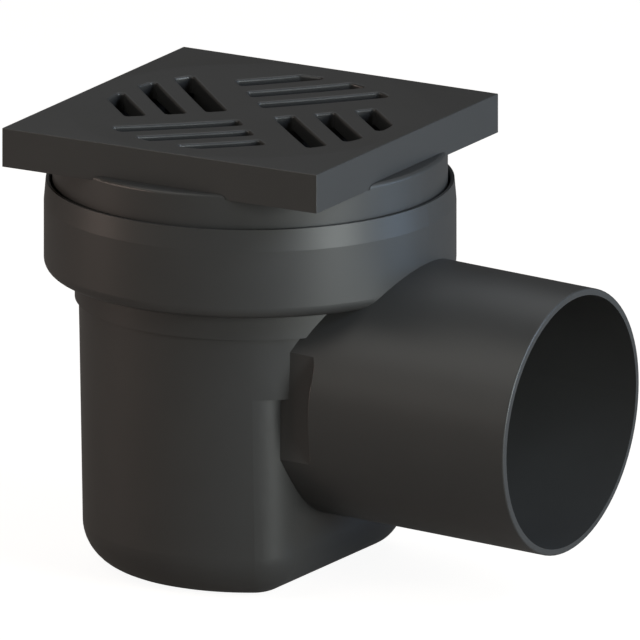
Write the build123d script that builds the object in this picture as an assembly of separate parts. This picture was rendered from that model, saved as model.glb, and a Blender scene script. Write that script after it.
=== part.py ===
from build123d import *
import math
import os

os.makedirs("parts", exist_ok=True)

# A basement floor drain in black plastic: a trapped pot with a side outlet, and a square
# grate on a riser that slides in the pot's bell, so that the grate can meet the floor.
# Millimetres, +Z up. The origin is on the pot's axis, on its underside. +X is the way out.

# Pot: round, drafted, with one flat side towards the outlet
pot_radius = 69.4        # outside, just under the band
pot_height = 110.7       # underside to band
pot_draft = 1.0          # degrees, the round wall narrows downwards
pot_wall = 2.8
pot_flat = 45.0          # axis to the outside of the flat dam wall
pot_corner = 20.0        # upright rounding between the flat and the round wall
foot_fillet = 18.0       # rounding of the bottom edge
dam_height = 85.0        # underside to the overhang above the flat

# Band and bell: the wide mouth that takes the riser
band_step = 1.6          # the band stands out this far from the pot
band_height = 11.5
bell_clearance = 1.0     # all round, between the riser and the bell
bell_wall = 2.5
bell_height = 37.8       # bell's underside to its rim
bell_fillet = 5.0
rim_taper_height = 9.0
rim_taper = 0.8
rim_lead_in = 0.5

# Outlet: a spigot for a nominal 110 pipe socket, falling outwards
outlet_diameter = 110.0
outlet_wall = 2.7
outlet_fall = 2.5        # degrees
outlet_height = 84.1     # outlet axis above the underside, where it meets the pot's axis
outlet_reach = 150.1     # pot's axis to the open end, along the outlet
outlet_edge = 0.7        # rounding of the open end
spigot_length = 59.0     # parallel stretch that a pipe socket takes, behind the rounding
root_draft = 0.3         # degrees, the stretch behind it widens towards the pot
neck_width = 100.6       # across the two flats beside the pot
neck_length = 58.4       # pot's axis to the end of the flats, along the outlet
neck_edge = 0.8
window_width = 76.0      # overflow window from the pot into the outlet
window_height = 20.0
window_corner = 6.0

# Trap insert: a funnel whose tube dips below the water line
insert_clearance = 0.3
insert_rim_height = 6.0
insert_rim_wall = 1.9
insert_wall = 2.5
dip_bore = 57.0
dip_depth = 53.0         # water seal: the tube's end is this far below the weir
dip_draft = 0.5          # degrees
funnel_drop = 17.0
grip_width = 5.0
grip_height = 12.0

# Seals: round-section rubber rings in grooves
seal_groove_play = 0.05
insert_seal_section = 2.8
riser_seal_section = 3.2
seal_running_gap = 0.1   # the riser's ring slides in the bell
seal_seat_gap = 0.05     # the insert's ring stays where it is

# Riser: a nominal 160 tube with a square seat on top
riser_diameter = 160.0
riser_wall = 3.5
riser_length = 35.0      # lower end to the seat
riser_lift = 11.7        # lower end above the bell's floor, as supplied
groove_offset = 4.5      # lower end to the middle of the groove
groove_play = 0.4        # ring to groove side
lug_height = 2.1         # the four crescents round the seat
lug_edge = 1.6
seat_bore = 132.0
seat_thickness = 3.5
riser_foot = 1.0         # chamfer at the lower end

# Grate: a square plate with a skirt, dished towards its slots
grate_side = 147.0
grate_height = 16.2
grate_clearance = 0.3    # all round, inside the crescents
grate_plate = 7.5
grate_skirt = 4.0
grate_edge = 0.4         # rounding of the top's and the corners' edges
bearing_wall = 2.5       # ring under the plate that stands on the riser's seat
bearing_bite = 0.25      # the ring runs this far into the skirt, at the middle of each side
dish_depth = 1.3
dish_margin = 0.5        # plate's edge to the dish, at the middle of each side
slot_width = 8.2
slot_pitch = 17.0
slot_first = 12.0        # middle of the cross to the first slot's middle
slots_per_group = 3
slot_inner_end = 7.4     # middle of the cross to the slots' inner ends
slot_field_radius = 60.75
slot_corner = 1.6
slot_edge = 1.0
rib_thickness = 2.5
rib_clearance = 1.0      # ribs stop this far above the seat

# Levels and radii that follow
riser_radius = riser_diameter / 2
riser_bore_radius = riser_radius - riser_wall
bell_bore_radius = riser_radius + bell_clearance
bell_radius = bell_bore_radius + bell_wall
band_radius = pot_radius + band_step
bell_corner = min(bell_fillet, 0.8 * (bell_radius - band_radius))
weir_level = dam_height + pot_wall
ledge_level = pot_height + pot_wall
bell_level = pot_height + band_height
bell_floor = bell_level + pot_wall
rim_level = bell_level + bell_height
throat_radius = band_radius - pot_wall
outlet_radius = outlet_diameter / 2
outlet_bore_radius = outlet_radius - outlet_wall
riser_bottom = bell_floor + riser_lift
seat_level = riser_bottom + riser_length
dip_radius = dip_bore / 2 + insert_wall
dip_end = weir_level - dip_depth
funnel_throat = ledge_level - funnel_drop
insert_rim_radius = throat_radius - insert_clearance
insert_bore_radius = insert_rim_radius - insert_seal_section - insert_rim_wall
rim_top = ledge_level + insert_rim_height

BASE = (Align.CENTER, Align.CENTER, Align.MIN)
REACH = 400.0            # longer than anything that a cutting block has to pass


def pot_radius_at(level):
    """Outside radius of the drafted wall at a height above the underside."""
    return pot_radius - (pot_height - level) * math.tan(math.radians(pot_draft))


def turned(points, fillets=()):
    """Revolve a closed outline of (radius, level) points; fillets are (point, radius) pairs."""
    outline = Plane.XZ * make_face(Polyline(*points, close=True))
    for (radius, level), size in fillets:
        corner = outline.vertices().sort_by_distance((radius, 0, level))[0]
        outline = fillet(corner, size)
    return revolve(outline, Axis.Z)


def ring(middle_radius, section, level):
    """A rubber ring of round section, lying level."""
    return Pos(0, 0, level) * Torus(middle_radius, section / 2)


# Outlet frame: its Z runs down the outlet, its X is the model's Y
fall = math.radians(outlet_fall)
outlet_frame = Plane(
    origin=(0, 0, outlet_height), x_dir=(0, 1, 0), z_dir=(math.cos(fall), 0, -math.sin(fall))
)


def lower_pot(inset, top):
    """The D-shaped lower pot up to a level, with every face moved inwards by inset."""
    low, high = pot_radius_at(inset) - inset, pot_radius_at(top) - inset
    form = Pos(0, 0, inset) * Cone(low, high, top - inset, align=BASE)
    beyond_flat = Box(REACH, REACH, REACH, align=(Align.MIN, Align.CENTER, Align.CENTER))
    form -= Pos(pot_flat - inset, 0, 0) * beyond_flat
    uprights = form.edges().filter_by(lambda edge: edge.bounding_box().size.Z > (top - inset) * 0.9)
    form = fillet(uprights, pot_corner - inset)
    bottom = form.edges().filter_by_position(Axis.Z, inset - 0.01, inset + 0.01)
    return fillet(bottom, min(foot_fillet, pot_corner - 1) - inset)


def neck_cheeks(half_width, length):
    """The two blocks beyond a half width from the outlet's axis, on both sides of the neck."""
    block = Box(REACH, REACH, length, align=(Align.MIN, Align.CENTER, Align.MIN))
    left = outlet_frame * Pos(half_width, 0, 0) * block
    right = outlet_frame * Rot(0, 0, 180) * Pos(half_width, 0, 0) * block
    return left + right


def make_spigot():
    """The outlet's outside, still solid: a drafted root with two flats, then a parallel end."""
    start = pot_flat / 2
    root_end = outlet_reach - outlet_edge - spigot_length
    root_radius = outlet_radius + (root_end - start) * math.tan(math.radians(root_draft))
    root = Pos(0, 0, start) * Cone(root_radius, outlet_radius, root_end - start, align=BASE)
    end = Pos(0, 0, root_end) * Cylinder(outlet_radius, outlet_reach - root_end, align=BASE)
    end = fillet(end.edges().sort_by(Axis.Z)[-1], outlet_edge)
    spigot = outlet_frame * (root + end) - neck_cheeks(neck_width / 2, neck_length)
    arcs = [
        edge
        for edge in spigot.edges()
        if abs(outlet_frame.to_local_coords(edge.center()).Z - neck_length) < 0.5
    ]
    return fillet(arcs, neck_edge)


def make_body():
    """Pot, band, bell and outlet: one moulding."""
    upper_outside = turned(
        [
            (0, dam_height),
            (pot_radius_at(dam_height), dam_height),
            (pot_radius, pot_height),
            (band_radius, pot_height),
            (band_radius, bell_level),
            (bell_radius, bell_level),
            (bell_radius, rim_level - rim_taper_height),
            (bell_radius - rim_taper, rim_level),
            (0, rim_level),
        ],
        fillets=[((bell_radius, bell_level), bell_corner)],
    )
    outside = lower_pot(0, dam_height) + upper_outside

    upper_inside = turned(
        [
            (0, weir_level),
            (pot_radius_at(weir_level) - pot_wall, weir_level),
            (pot_radius_at(ledge_level) - pot_wall, ledge_level),
            (throat_radius, ledge_level),
            (throat_radius, bell_floor),
            (bell_bore_radius, bell_floor),
            (bell_bore_radius, rim_level - rim_lead_in),
            (bell_bore_radius + rim_lead_in, rim_level),
            (0, rim_level),
        ],
        fillets=[((bell_bore_radius, bell_floor), bell_corner - pot_wall)],
    )
    inside = lower_pot(pot_wall, weir_level) + upper_inside

    bore = outlet_frame * Cylinder(outlet_bore_radius, REACH, align=BASE)
    bore -= neck_cheeks(neck_width / 2 - outlet_wall, neck_length + outlet_wall)

    window_face = Rectangle(window_width, window_height)
    window_face = fillet(window_face.vertices().group_by(Axis.Y)[-1], window_corner)
    window = extrude(
        Plane.YZ * Pos(0, weir_level + window_height / 2) * window_face, band_radius + band_step
    )
    window -= Box(2 * (pot_flat - pot_wall), REACH, REACH)

    body = outside + make_spigot()
    body -= inside
    body -= bore - outside
    return body - window


def make_trap_tube():
    """Funnel, dip tube and grip: one moulding that lifts out of the pot."""
    narrowing = (funnel_throat - dip_end) * math.tan(math.radians(dip_draft))
    groove_floor = insert_rim_radius + insert_clearance - seal_seat_gap - insert_seal_section
    groove_level = ledge_level + insert_rim_height / 2
    groove_half = insert_seal_section / 2 + seal_groove_play
    funnel = turned(
        [
            (dip_bore / 2 - narrowing, dip_end),
            (dip_radius - narrowing, dip_end),
            (dip_radius, funnel_throat),
            (insert_bore_radius, ledge_level),
            (insert_rim_radius, ledge_level),
            (insert_rim_radius, groove_level - groove_half),
            (groove_floor - seal_groove_play, groove_level - groove_half),
            (groove_floor - seal_groove_play, groove_level + groove_half),
            (insert_rim_radius, groove_level + groove_half),
            (insert_rim_radius, rim_top),
            (insert_bore_radius, rim_top),
            (insert_bore_radius, ledge_level + insert_wall),
            (dip_bore / 2, funnel_throat + insert_wall),
        ]
    )
    hollow = turned(
        [
            (0, funnel_throat),
            (dip_radius, funnel_throat),
            (insert_bore_radius, ledge_level),
            (insert_bore_radius, rim_top),
            (0, rim_top),
        ]
    )
    bar = Pos(0, 0, ledge_level - grip_height) * Box(REACH, grip_width, grip_height, align=BASE)
    return funnel + (bar & hollow)


def make_riser():
    """Tube with a ring groove at its foot and a square seat between four crescents."""
    groove_level = riser_bottom + groove_offset
    groove_floor = bell_bore_radius - seal_running_gap - riser_seal_section - seal_groove_play
    groove_half = riser_seal_section / 2 + groove_play
    lug_level = seat_level + lug_height
    seat_underside = seat_level - seat_thickness
    slope = riser_bore_radius - seat_bore / 2
    tube = turned(
        [
            (riser_bore_radius, riser_bottom),
            (riser_radius - riser_foot, riser_bottom),
            (riser_radius, riser_bottom + riser_foot),
            (riser_radius, groove_level - groove_half),
            (groove_floor, groove_level - groove_half),
            (groove_floor, groove_level + groove_half),
            (riser_radius, groove_level + groove_half),
            (riser_radius, lug_level),
            (seat_bore / 2, lug_level),
            (seat_bore / 2, seat_underside),
            (riser_bore_radius, seat_underside - slope),
        ],
        fillets=[((riser_radius, lug_level), lug_edge)],
    )
    pocket_side = grate_side + 2 * grate_clearance
    pocket = Pos(0, 0, seat_level) * Box(pocket_side, pocket_side, REACH, align=BASE)
    return tube - pocket


def slot_group():
    """The slots of one quarter of the plate, seen from above with the cross along X and Y."""
    field = Circle(slot_field_radius)
    slots = []
    for number in range(slots_per_group):
        middle = -(slot_first + number * slot_pitch)
        strip = Pos(middle, slot_inner_end) * Rectangle(
            slot_width, slot_field_radius, align=(Align.CENTER, Align.MIN)
        )
        slot = strip & field
        slots.append(fillet(slot.vertices(), slot_corner))
    return slots


def make_grate():
    """Square plate with a skirt, a bearing ring, a hollow cross of ribs and four groups of slots."""
    top = seat_level + grate_height
    plate_underside = top - grate_plate
    half = grate_side / 2
    cross = Rot(0, 0, 45)

    plate = Pos(0, 0, seat_level) * Box(grate_side, grate_side, grate_height, align=BASE)
    outer_edges = plate.edges().filter_by(Axis.Z) + plate.edges().group_by(Axis.Z)[-1]
    plate = fillet(outer_edges, grate_edge)
    well_side = grate_side - 2 * grate_skirt
    well_depth = grate_height - grate_plate
    plate -= Pos(0, 0, seat_level) * Box(well_side, well_side, well_depth, align=BASE)
    bearing_radius = well_side / 2 + bearing_bite
    bearing = Cylinder(bearing_radius, well_depth, align=BASE)
    bearing -= Cylinder(bearing_radius - bearing_wall, well_depth, align=BASE)
    plate += Pos(0, 0, seat_level) * bearing

    rib_level = seat_level + rib_clearance
    rib_outer = 2 * min(slot_inner_end, slot_first - slot_width / 2)
    rib_inner = rib_outer - 2 * rib_thickness
    rib_drop = plate_underside - rib_level
    arm_length = 2 * slot_field_radius
    ribs = Box(arm_length, rib_outer, rib_drop, align=BASE)
    ribs += Box(rib_outer, arm_length, rib_drop, align=BASE)
    core_length = arm_length - 2 * rib_thickness
    core = Box(core_length, rib_inner, rib_drop, align=BASE)
    core += Box(rib_inner, core_length, rib_drop, align=BASE)
    plate += cross * Pos(0, 0, rib_level) * (ribs - core)

    dish_rim = half - dish_margin
    dish_radius = (dish_rim**2 + dish_depth**2) / (2 * dish_depth)
    plate -= Pos(0, 0, top - dish_depth + dish_radius) * Rot(90, 0, 0) * Sphere(dish_radius)

    for quarter in range(4):
        for slot in slot_group():
            placed = cross * Rot(0, 0, 90 * quarter) * Pos(0, 0, seat_level) * slot
            plate -= extrude(placed, grate_height)
    dish = plate.faces().filter_by(GeomType.SPHERE).sort_by(SortBy.AREA)[-1]
    slot_mouths = [edge for mouth in dish.inner_wires() for edge in mouth.edges()]
    return fillet(slot_mouths, slot_edge)


insert_ring_middle = throat_radius - seal_seat_gap - insert_seal_section / 2
riser_ring_middle = bell_bore_radius - seal_running_gap - riser_seal_section / 2

nodes = {
    "body": make_body(),
    "trap_tube": make_trap_tube(),
    "trap_seal": ring(insert_ring_middle, insert_seal_section, ledge_level + insert_rim_height / 2),
    "riser_seal": ring(riser_ring_middle, riser_seal_section, riser_bottom + groove_offset),
    "riser": make_riser(),
    "grate": make_grate(),
}

for name, shape in nodes.items():
    export_step(shape, f"parts/{name}.step")
    print(name, len(shape.solids()), round(shape.volume), shape.bounding_box())
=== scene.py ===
# %% [markdown]
# # A trapped basement floor drain
# The drain is black plastic: a square slotted grate on a short riser, a bell-mouthed pot and
# a wide side outlet. Its solids come from the construction model and stay exactly where they
# are. This lesson dresses them: each piece gets its own moulded finish, and a small studio
# lights them. Everything is in metres, +Z is up and the outlet points along +X.

# %% Load the frame
import math

import bmesh
import bpy
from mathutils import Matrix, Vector


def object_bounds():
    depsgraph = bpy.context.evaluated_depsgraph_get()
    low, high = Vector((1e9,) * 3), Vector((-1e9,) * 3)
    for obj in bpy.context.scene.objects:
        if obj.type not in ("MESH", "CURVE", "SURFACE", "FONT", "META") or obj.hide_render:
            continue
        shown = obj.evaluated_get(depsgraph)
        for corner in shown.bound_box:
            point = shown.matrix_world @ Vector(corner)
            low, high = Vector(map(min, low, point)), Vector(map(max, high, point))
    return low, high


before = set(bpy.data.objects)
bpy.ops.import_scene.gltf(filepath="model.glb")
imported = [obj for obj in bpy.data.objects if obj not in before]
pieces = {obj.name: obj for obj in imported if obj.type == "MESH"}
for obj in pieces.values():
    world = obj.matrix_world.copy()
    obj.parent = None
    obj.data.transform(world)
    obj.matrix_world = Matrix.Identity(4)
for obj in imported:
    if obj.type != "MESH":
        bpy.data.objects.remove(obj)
cad_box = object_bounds()
print("pieces in the frame:", sorted(pieces))

# %% [markdown]
# Sizes are easier to read in millimetres, so one factor turns them into metres. The drain's
# outer box, taken before anything is added, is what the dressed drain has to stay within.

# %% Sizes read from the frame
MM = 0.001

drain_size = cad_box[1] - cad_box[0]
print("the drain measures", [round(side / MM, 1) for side in drain_size], "mm")

# %% [markdown]
# ## The camera
# The picture has no perspective: edges that are parallel on the drain are parallel in it. A
# long lens from far away would come close to that, but an orthographic camera gives it exactly
# and with one number less. It looks down by 15 degrees, from 30 degrees to the right of the
# front. Its width and aim put the grate's left corner and the outlet at the picture's edges.

# %% Camera
VIEW_TURN = math.radians(30)
VIEW_DROP = math.radians(15)
PICTURE_WIDTH = 258.83 * MM
AIM_RIGHT = 28.25 * MM
AIM_UP = 96.85 * MM
CAMERA_DISTANCE = 1.2

scene = bpy.context.scene
camera_data = bpy.data.cameras.new("camera")
camera_data.type = "ORTHO"
camera_data.ortho_scale = PICTURE_WIDTH
camera = bpy.data.objects.new("camera", camera_data)
camera.rotation_euler = (math.pi / 2 - VIEW_DROP, 0, VIEW_TURN)
right, up, back = camera.rotation_euler.to_matrix().col
camera.location = right * AIM_RIGHT + up * AIM_UP + back * CAMERA_DISTANCE
scene.collection.objects.link(camera)
scene.camera = camera
print("camera at", [round(value, 3) for value in camera.location])

# %% [markdown]
# ## The studio
# A dark satin thing shows its surroundings as much as its own colour. So the studio is built
# round what the drain should mirror, above all softboxes that draw long soft bands on the
# round walls. The room beyond them is a dim warm grey. It keeps the grate's top dark, because
# from this low angle the top mirrors the room behind it.

# %% The room
scene.view_settings.view_transform = "Standard"

ROOM_COLOUR = (1.0, 0.86, 0.68)
ROOM_LIGHT = 0.05

world = bpy.data.worlds.new("dim_room")
world.use_nodes = True
room = world.node_tree.nodes["Background"]
room.inputs["Color"].default_value = (*ROOM_COLOUR, 1)
room.inputs["Strength"].default_value = ROOM_LIGHT
scene.world = world
print("room light:", ROOM_LIGHT)

# %% [markdown]
# The floor is one large square, a hair under the pot so that the two don't flicker.

# %% Floor
FLOOR_SIDE = 8.0
FLOOR_GAP = 0.2 * MM

floor_mesh = bpy.data.meshes.new("floor")
sheet = bmesh.new()
bmesh.ops.create_grid(sheet, x_segments=1, y_segments=1, size=FLOOR_SIDE / 2)
bmesh.ops.translate(sheet, verts=sheet.verts, vec=(0, 0, -FLOOR_GAP))
sheet.to_mesh(floor_mesh)
sheet.free()
floor = bpy.data.objects.new("floor", floor_mesh)
scene.collection.objects.link(floor)
print("floor of", FLOOR_SIDE, "m")

# %% [markdown]
# The page behind the drain is white, but a floor bright enough for that would throw too much
# light back up at the drain. So the paint does two things. For the light that travels in the
# room it is matt paint in a warm grey. For what is seen, straight or in a reflection, it is
# the same paint, dimmed so that its shadow is soft, plus a steady glow that lifts it to
# white. The Light Path node tells the two apart. In a reflection the glow is far weaker,
# because black walls that mirrored a white floor would turn grey.

# %% Floor paint
FLOOR_TONE = (0.43, 0.38, 0.34)
FLOOR_SEEN_SHARE = 0.6
FLOOR_GLOW = 0.92
FLOOR_MIRRORED = 0.07

floor_paint = bpy.data.materials.new("floor_paint")
floor_paint.use_nodes = True
nodes, links = floor_paint.node_tree.nodes, floor_paint.node_tree.links
nodes.remove(nodes["Principled BSDF"])

matt_paint = nodes.new("ShaderNodeBsdfDiffuse")
matt_paint.inputs["Color"].default_value = (*FLOOR_TONE, 1)
seen_paint = nodes.new("ShaderNodeBsdfDiffuse")
seen_tone = [channel * FLOOR_SEEN_SHARE for channel in FLOOR_TONE]
seen_paint.inputs["Color"].default_value = (*seen_tone, 1)
glow = nodes.new("ShaderNodeEmission")
seen_floor = nodes.new("ShaderNodeAddShader")
links.new(seen_paint.outputs["BSDF"], seen_floor.inputs[0])
links.new(glow.outputs["Emission"], seen_floor.inputs[1])

ray = nodes.new("ShaderNodeLightPath")
mirrored = nodes.new("ShaderNodeMath")
mirrored.operation = "MAXIMUM"
links.new(ray.outputs["Is Glossy Ray"], mirrored.inputs[0])
links.new(ray.outputs["Is Transmission Ray"], mirrored.inputs[1])
seen = nodes.new("ShaderNodeMath")
seen.operation = "MAXIMUM"
links.new(ray.outputs["Is Camera Ray"], seen.inputs[0])
links.new(mirrored.outputs[0], seen.inputs[1])

glow_level = nodes.new("ShaderNodeMix")
glow_level.inputs["A"].default_value = FLOOR_GLOW
glow_level.inputs["B"].default_value = FLOOR_GLOW * FLOOR_MIRRORED
links.new(mirrored.outputs[0], glow_level.inputs["Factor"])
links.new(glow_level.outputs["Result"], glow.inputs["Strength"])

either = nodes.new("ShaderNodeMixShader")
links.new(seen.outputs[0], either.inputs["Fac"])
links.new(matt_paint.outputs["BSDF"], either.inputs[1])
links.new(seen_floor.outputs["Shader"], either.inputs[2])
links.new(either.outputs["Shader"], nodes["Material Output"].inputs["Surface"])
floor_mesh.materials.append(floor_paint)
print("floor paint glows with", FLOOR_GLOW)

# %% [markdown]
# Every lamp is a round softbox that faces the middle of the drain. It is placed as a
# photographer would say it: a bearing round the drain, a height angle above the floor, a
# width and a power. Bearing 0 is the outlet's side and the camera stands at -60, so what is
# below -60 lights the drain from the picture's left. A disk is used because its reflection
# fades evenly at its edge, where a square's would show corners.

# %% Softbox helper
AIM_POINT = Vector((0.03, 0, 0.09))
SOFTBOX_DISTANCE = 1.3


def add_softbox(name, bearing, height, width, power, colour):
    """A round area lamp at a bearing and a height angle, turned to face the drain."""
    around, above = math.radians(bearing), math.radians(height)
    level = math.cos(above)
    away = Vector((math.cos(around) * level, math.sin(around) * level, math.sin(above)))
    data = bpy.data.lights.new(name, "AREA")
    data.shape = "DISK"
    data.size = width
    data.energy = power
    data.color = colour
    lamp = bpy.data.objects.new(name, data)
    lamp.location = AIM_POINT + away * SOFTBOX_DISTANCE
    lamp.rotation_euler = away.to_track_quat("Z", "Y").to_euler()
    scene.collection.objects.link(lamp)
    return lamp


# %% [markdown]
# The key light stands low on the outlet's side. It draws the bright bands on bell and pot and
# lights the grate's right side. A blue one beside it and a high cool one above it tint the
# edges there. On the left, a high box, a low warm one and a faint one nearer the camera shape
# the shaded side. Two weak ones, behind and overhead, give the grate's top its even grey and
# show the drain's back to whoever walks round it.

# %% Softboxes
softboxes = [
    # name, bearing, height, width, power, colour
    add_softbox("key_softbox", -14, 10, 0.5, 14.0, (0.94, 1.0, 0.97)),
    add_softbox("cool_edge_softbox", 26, 4, 0.4, 3.8, (0.45, 0.68, 1.0)),
    add_softbox("high_right_softbox", 0, 38, 0.6, 7.2, (0.73, 0.84, 1.0)),
    add_softbox("high_left_softbox", -125, 48, 0.9, 3.1, (1.0, 0.98, 0.92)),
    add_softbox("low_left_softbox", -148, 8, 0.3, 3.4, (1.0, 0.8, 0.7)),
    add_softbox("back_softbox", 134, 40, 0.6, 0.5, (0.95, 0.98, 1.0)),
    add_softbox("overhead_softbox", 100, 66, 0.9, 2.3, (0.95, 0.98, 1.0)),
    add_softbox("low_front_softbox", -118, 14, 0.4, 0.65, (1.0, 0.98, 0.9)),
]
print("lamps:", [lamp.name for lamp in softboxes])

# %% [markdown]
# ## Moulded plastic
# All the rigid pieces are injection moulded, so they share three traits: a fine spark-eroded
# grain from the steel mould, slow waves where the plastic shrank, and clouds of slightly
# smoother and rougher skin where it flowed. Each material could hold its own textures, but
# one node group makes all three traits from the piece's own coordinates, so that they are
# built once and each material only sets their strength. First come two small helpers, one
# for an empty group and one for sums and products of sockets.

# %% Helpers for node groups


def new_group(name, inputs, outputs):
    """An empty shader node group with number sockets (name, default) and named outputs."""
    group = bpy.data.node_groups.new(name, "ShaderNodeTree")
    for socket_name, default in inputs:
        socket = group.interface.new_socket(
            socket_name, in_out="INPUT", socket_type="NodeSocketFloat"
        )
        socket.default_value = default
    for socket_name in outputs:
        group.interface.new_socket(socket_name, in_out="OUTPUT", socket_type="NodeSocketFloat")
    start = group.nodes.new("NodeGroupInput")
    end = group.nodes.new("NodeGroupOutput")
    return group, start, end


def calculate(group, operation, first, second):
    """A Math node on two values, each a socket or a plain number; gives its output socket."""
    node = group.nodes.new("ShaderNodeMath")
    node.operation = operation
    for socket, value in zip(node.inputs, (first, second)):
        if isinstance(value, (int, float)):
            socket.default_value = value
        else:
            group.links.new(value, socket)
    return node.outputs[0]


# %% [markdown]
# Three noise textures make the skin. The grain's size is an input, because the grate's mould
# is finer than the pot's. Its depth and the waves' depth are real depths in metres, so their
# sum can go straight to a Bump node. The clouds leave the group twice: added to the roughness,
# and on their own for the colour. A noise swings round one half, so that much is taken off
# before the clouds change the roughness.

# %% Node group: moulded skin
WAVES_PER_METRE = 28.0
CLOUDS_PER_METRE = 45.0
NOISE_MIDDLE = 0.5


def noise(group, place, scale, detail, roughness=0.5):
    """A noise texture at a place socket; scale is a socket or a number; gives its output."""
    node = group.nodes.new("ShaderNodeTexNoise")
    node.inputs["Detail"].default_value = detail
    node.inputs["Roughness"].default_value = roughness
    group.links.new(place, node.inputs["Vector"])
    if isinstance(scale, (int, float)):
        node.inputs["Scale"].default_value = scale
    else:
        group.links.new(scale, node.inputs["Scale"])
    return node.outputs["Fac"]


def make_moulded_skin():
    """The group that every finish of the drain shares."""
    group, start, end = new_group(
        "moulded_skin",
        [
            ("Grain Size", 0.4 * MM),
            ("Grain Depth", 0.004 * MM),
            ("Wave Depth", 0.02 * MM),
            ("Roughness", 0.38),
            ("Cloud Strength", 0.06),
        ],
        ["Height", "Roughness", "Cloud"],
    )
    place = group.nodes.new("ShaderNodeTexCoord").outputs["Object"]
    grain_scale = calculate(group, "DIVIDE", 1.0, start.outputs["Grain Size"])
    grain = noise(group, place, grain_scale, detail=2.0)
    wave = noise(group, place, WAVES_PER_METRE, detail=1.0)
    cloud = noise(group, place, CLOUDS_PER_METRE, detail=5.0, roughness=0.6)

    grain_height = calculate(group, "MULTIPLY", grain, start.outputs["Grain Depth"])
    wave_height = calculate(group, "MULTIPLY", wave, start.outputs["Wave Depth"])
    height = calculate(group, "ADD", grain_height, wave_height)
    group.links.new(height, end.inputs["Height"])

    swing = calculate(group, "SUBTRACT", cloud, NOISE_MIDDLE)
    change = calculate(group, "MULTIPLY", swing, start.outputs["Cloud Strength"])
    rough = calculate(group, "ADD", start.outputs["Roughness"], change)
    group.links.new(rough, end.inputs["Roughness"])
    group.links.new(cloud, end.inputs["Cloud"])
    return group


moulded_skin = make_moulded_skin()
print("node group:", moulded_skin.name, [s.name for s in moulded_skin.interface.items_tree])

# %% [markdown]
# A material places the group, mixes two close tones of black with its clouds, and sends its
# height through a Bump node. The Bump distance is one metre, so that the heights in the group
# stay real heights. The grain could be cut into the mesh instead, but at a few thousandths of
# a millimetre only the light notices it.

# %% Plastic and rubber maker


def moulded_material(name, dark, light, ior, **skin_values):
    """A Principled material with the moulded skin; skin_values are the group's inputs."""
    material = bpy.data.materials.new(name)
    material.use_nodes = True
    nodes, links = material.node_tree.nodes, material.node_tree.links
    surface = nodes["Principled BSDF"]
    surface.inputs["IOR"].default_value = ior

    skin = nodes.new("ShaderNodeGroup")
    skin.node_tree = moulded_skin
    for socket_name, value in skin_values.items():
        skin.inputs[socket_name.replace("_", " ").title()].default_value = value

    tone = nodes.new("ShaderNodeMix")
    tone.data_type = "RGBA"
    tone.inputs["A"].default_value = (*dark, 1)
    tone.inputs["B"].default_value = (*light, 1)
    links.new(skin.outputs["Cloud"], tone.inputs["Factor"])
    links.new(tone.outputs["Result"], surface.inputs["Base Color"])
    links.new(skin.outputs["Roughness"], surface.inputs["Roughness"])

    bump = nodes.new("ShaderNodeBump")
    bump.inputs["Strength"].default_value = 1.0
    bump.inputs["Distance"].default_value = 1.0
    links.new(skin.outputs["Height"], bump.inputs["Height"])
    links.new(bump.outputs["Normal"], surface.inputs["Normal"])
    return material


# %% [markdown]
# ### The drain's finishes
# Pot, bell and riser are satin polypropylene. It is black through and through, yet its grain
# scatters enough light for a dark grey. The riser is a shorter piece than the pot, so its
# waves are flatter. The grate comes from a finer mould, which leaves it a touch smoother.

# %% Outside plastic
POLYPROPYLENE_IOR = 1.49
SATIN_TONES = (0.035, 0.035, 0.035), (0.041, 0.041, 0.041)
SATIN_SKIN = {
    "grain_size": 0.5 * MM,
    "grain_depth": 0.005 * MM,
    "roughness": 0.42,
    "cloud_strength": 0.06,
}
GRATE_TONES = (0.038, 0.038, 0.038), (0.042, 0.042, 0.042)

satin_body = moulded_material(
    "satin_body", *SATIN_TONES, POLYPROPYLENE_IOR, wave_depth=0.02 * MM, **SATIN_SKIN
)
satin_riser = moulded_material(
    "satin_riser", *SATIN_TONES, POLYPROPYLENE_IOR, wave_depth=0.015 * MM, **SATIN_SKIN
)
fine_grate = moulded_material(
    "fine_grate", *GRATE_TONES, POLYPROPYLENE_IOR,
    grain_size=0.35 * MM, grain_depth=0.004 * MM, wave_depth=0.01 * MM,
    roughness=0.38, cloud_strength=0.05,
)
print("outside finishes:", satin_body.name, satin_riser.name, fine_grate.name)

# %% [markdown]
# The insert with its dip tube is a thinner moulding and comes out of the mould a little
# smoother. The two rings are soft rubber: darker, matter and without the plastic's waves.

# %% Inside plastic and rubber
RUBBER_IOR = 1.52
INSERT_TONES = (0.034, 0.034, 0.035), (0.040, 0.040, 0.041)
RUBBER_TONES = (0.016, 0.016, 0.016), (0.022, 0.022, 0.022)

smooth_insert = moulded_material(
    "smooth_insert", *INSERT_TONES, POLYPROPYLENE_IOR,
    grain_size=0.4 * MM, grain_depth=0.003 * MM, wave_depth=0.02 * MM,
    roughness=0.40, cloud_strength=0.08,
)
ring_rubber = moulded_material(
    "ring_rubber", *RUBBER_TONES, RUBBER_IOR,
    grain_size=0.25 * MM, grain_depth=0.003 * MM, wave_depth=0.0,
    roughness=0.62, cloud_strength=0.10,
)
print("inside finishes:", smooth_insert.name, ring_rubber.name)

# %% [markdown]
# Each piece of the frame has one material slot. Filling the slot changes the look and
# leaves the mesh as it is.

# %% Dress the pieces
finishes = {
    "body": satin_body,
    "riser": satin_riser,
    "grate": fine_grate,
    "trap_tube": smooth_insert,
    "riser_seal": ring_rubber,
    "trap_seal": ring_rubber,
}
for name, material in finishes.items():
    pieces[name].material_slots[0].material = material
    print(name, "wears", material.name)
